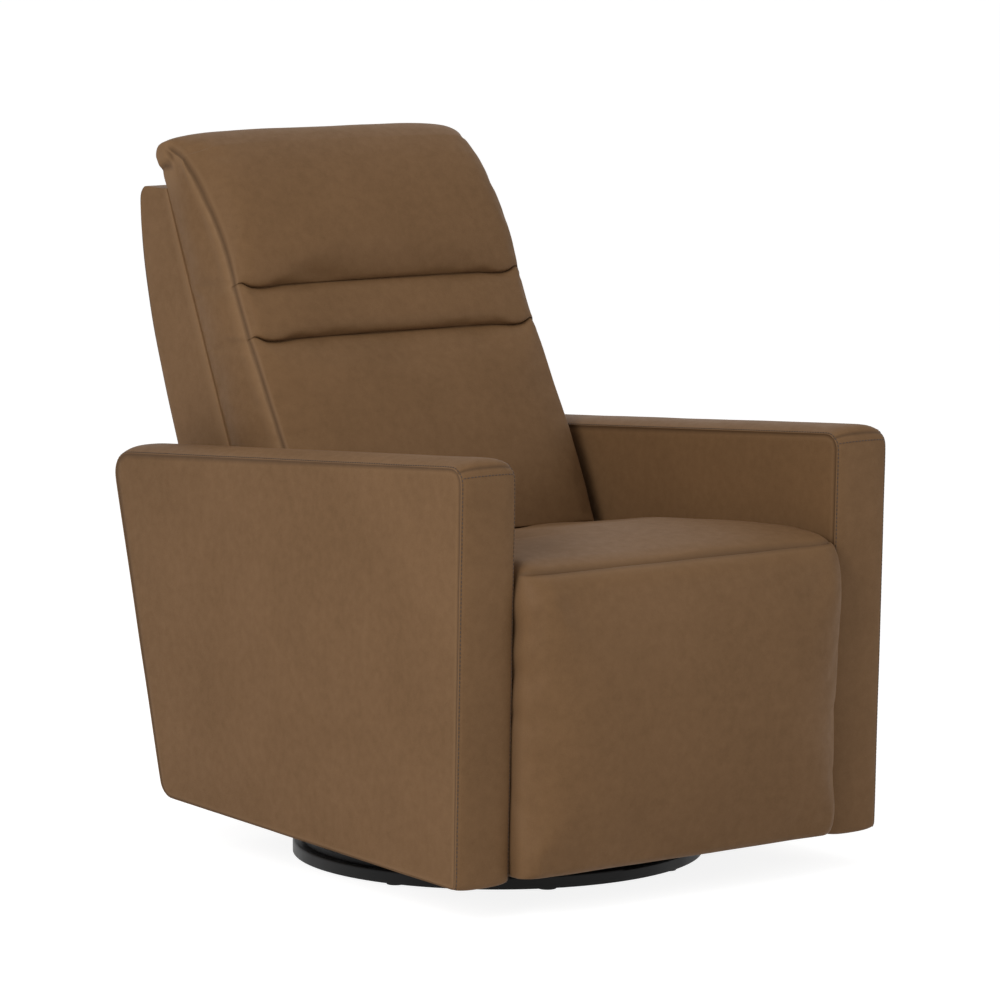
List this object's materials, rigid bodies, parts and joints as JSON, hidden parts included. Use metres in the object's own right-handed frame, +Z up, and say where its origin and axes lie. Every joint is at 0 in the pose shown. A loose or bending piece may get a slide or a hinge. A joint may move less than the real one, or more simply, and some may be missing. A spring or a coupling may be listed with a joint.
{
  "type": "swivel glider recliner",
  "caption": "Leather-covered recliner with slab arms on a round swivel base; it glides, its back reclines and its footrest folds out on a linkage.",
  "frame": {"origin": "on the floor, under the middle of the closed chair's outline", "axes": "+Z up, -Y the way the chair faces, +X to the sitter's left"},
  "size_m": [0.76, 1.0381, 1.0478],
  "materials": {
    "brown_leather": "matte",
    "black_steel": "satin",
    "zinc_steel": "satin",
    "spring_steel": "satin",
    "frame_wood": "matte",
    "black_rubber": "matte",
    "grip_plastic": "matte"
  },
  "bodies": {
    "base": {"base_ring": "black_steel", "base_cross": "black_steel", "base_feet": "black_rubber", "swivel_lower_plate": "black_steel", "swivel_balls": "zinc_steel"},
    "turntable": {"swivel_upper_plate": "black_steel", "swivel_bolt": "zinc_steel", "swivel_nut": "zinc_steel", "stand_beams": "black_steel", "glide_stand_left": "black_steel", "glide_stand_right": "black_steel", "glide_upper_pins": "zinc_steel"},
    "link_front_left": {"glide_link_front_left": "black_steel"},
    "link_front_right": {"glide_link_front_right": "black_steel"},
    "link_rear_left": {"glide_link_rear_left": "black_steel"},
    "link_rear_right": {"glide_link_rear_right": "black_steel"},
    "carriage": {"glide_lower_pins": "zinc_steel", "glide_rail_left": "black_steel", "glide_rail_right": "black_steel", "cross_tube_front": "black_steel", "cross_tube_rear": "black_steel", "mechanism_plate_left": "black_steel", "mechanism_plate_right": "black_steel", "mechanism_bolts": "zinc_steel", "back_pivot_pins": "zinc_steel", "arm_cover_left": "brown_leather", "arm_cover_right": "brown_leather", "arm_frame_left": "frame_wood", "arm_frame_right": "frame_wood", "seat_angle_left": "black_steel", "seat_angle_right": "black_steel", "seat_frame": "frame_wood", "seat_springs": "spring_steel", "seat_cushion": "brown_leather", "rear_rail": "brown_leather", "drive_pivot_pins": "zinc_steel", "release_stud": "zinc_steel"},
    "back": {"back_shell": "brown_leather", "back_frame": "frame_wood", "back_springs": "spring_steel", "back_ear_left": "black_steel", "back_ear_right": "black_steel", "back_cushion": "brown_leather"},
    "drive_links": {"drive_link_left": "black_steel", "drive_link_right": "black_steel", "drive_link_rivets": "zinc_steel", "torque_tube": "black_steel"},
    "cross_links": {"cross_link_left": "black_steel", "cross_link_right": "black_steel", "cross_link_rollers": "zinc_steel"},
    "extension_links": {"extension_link_left": "black_steel", "extension_link_right": "black_steel"},
    "footrest": {"footrest_bracket_left": "black_steel", "footrest_bracket_right": "black_steel", "footrest_rivets": "zinc_steel", "footrest_board": "frame_wood", "footrest_pad": "brown_leather"},
    "release": {"release_lever": "black_steel", "release_grip": "grip_plastic"}
  },
  "joints": [
    {"name": "swivel", "type": "hinge", "parent": "base", "child": "turntable", "pos_m": [0, -0.035, 0.03], "axis": [0, 0, 1], "continuous": true},
    {"name": "glide", "type": "hinge", "parent": "turntable", "child": "link_front_left", "pos_m": [0.1595, -0.135, 0.182], "axis": [-1, 0, 0], "range_deg": [-24, 24]},
    {"name": "glide_front_right", "type": "hinge", "parent": "turntable", "child": "link_front_right", "pos_m": [-0.1595, -0.135, 0.182], "axis": [-1, 0, 0], "range_deg": [-24, 24]},
    {"name": "glide_rear_left", "type": "hinge", "parent": "turntable", "child": "link_rear_left", "pos_m": [0.1595, 0.065, 0.182], "axis": [-1, 0, 0], "range_deg": [-24, 24]},
    {"name": "glide_rear_right", "type": "hinge", "parent": "turntable", "child": "link_rear_right", "pos_m": [-0.1595, 0.065, 0.182], "axis": [-1, 0, 0], "range_deg": [-24, 24]},
    {"name": "carriage_hang", "type": "hinge", "parent": "link_front_left", "child": "carriage", "pos_m": [0.1595, -0.135, 0.07], "axis": [-1, 0, 0], "range_deg": [-24, 24]},
    {"name": "recline", "type": "hinge", "parent": "carriage", "child": "back", "pos_m": [0, 0.12, 0.405], "axis": [-1, 0, 0], "range_deg": [0, 32]},
    {"name": "footrest_drive", "type": "hinge", "parent": "carriage", "child": "drive_links", "pos_m": [0, -0.351, 0.338], "axis": [-1, 0, 0], "range_deg": [0, 94]},
    {"name": "cross_fold", "type": "hinge", "parent": "drive_links", "child": "cross_links", "pos_m": [0, -0.33016, 0.21982], "axis": [-1, 0, 0], "range_deg": [-142.2, 0.2]},
    {"name": "extension_fold", "type": "hinge", "parent": "drive_links", "child": "extension_links", "pos_m": [0, -0.30412, 0.0721], "axis": [-1, 0, 0], "range_deg": [-142.2, 0.2]},
    {"name": "footrest_fold", "type": "hinge", "parent": "extension_links", "child": "footrest", "pos_m": [0, -0.38911, 0.21933], "axis": [-1, 0, 0], "range_deg": [-0.2, 142.2]},
    {"name": "release", "type": "hinge", "parent": "carriage", "child": "release", "pos_m": [-0.2855, -0.12, 0.3], "axis": [1, 0, 0], "range_deg": [0, 20], "stiffness_Nm_per_rad": 2, "springref_deg": -11.46}
  ],
  "couplings": [
    {"joint": "glide_front_right", "follows": "glide", "ratio": 1},
    {"joint": "glide_rear_left", "follows": "glide", "ratio": 1},
    {"joint": "glide_rear_right", "follows": "glide", "ratio": 1},
    {"joint": "carriage_hang", "follows": "glide", "ratio": -1},
    {"joint": "cross_fold", "follows": "footrest_drive", "ratio": -1.5106},
    {"joint": "extension_fold", "follows": "footrest_drive", "ratio": -1.5106},
    {"joint": "footrest_fold", "follows": "footrest_drive", "ratio": 1.5106}
  ]
}
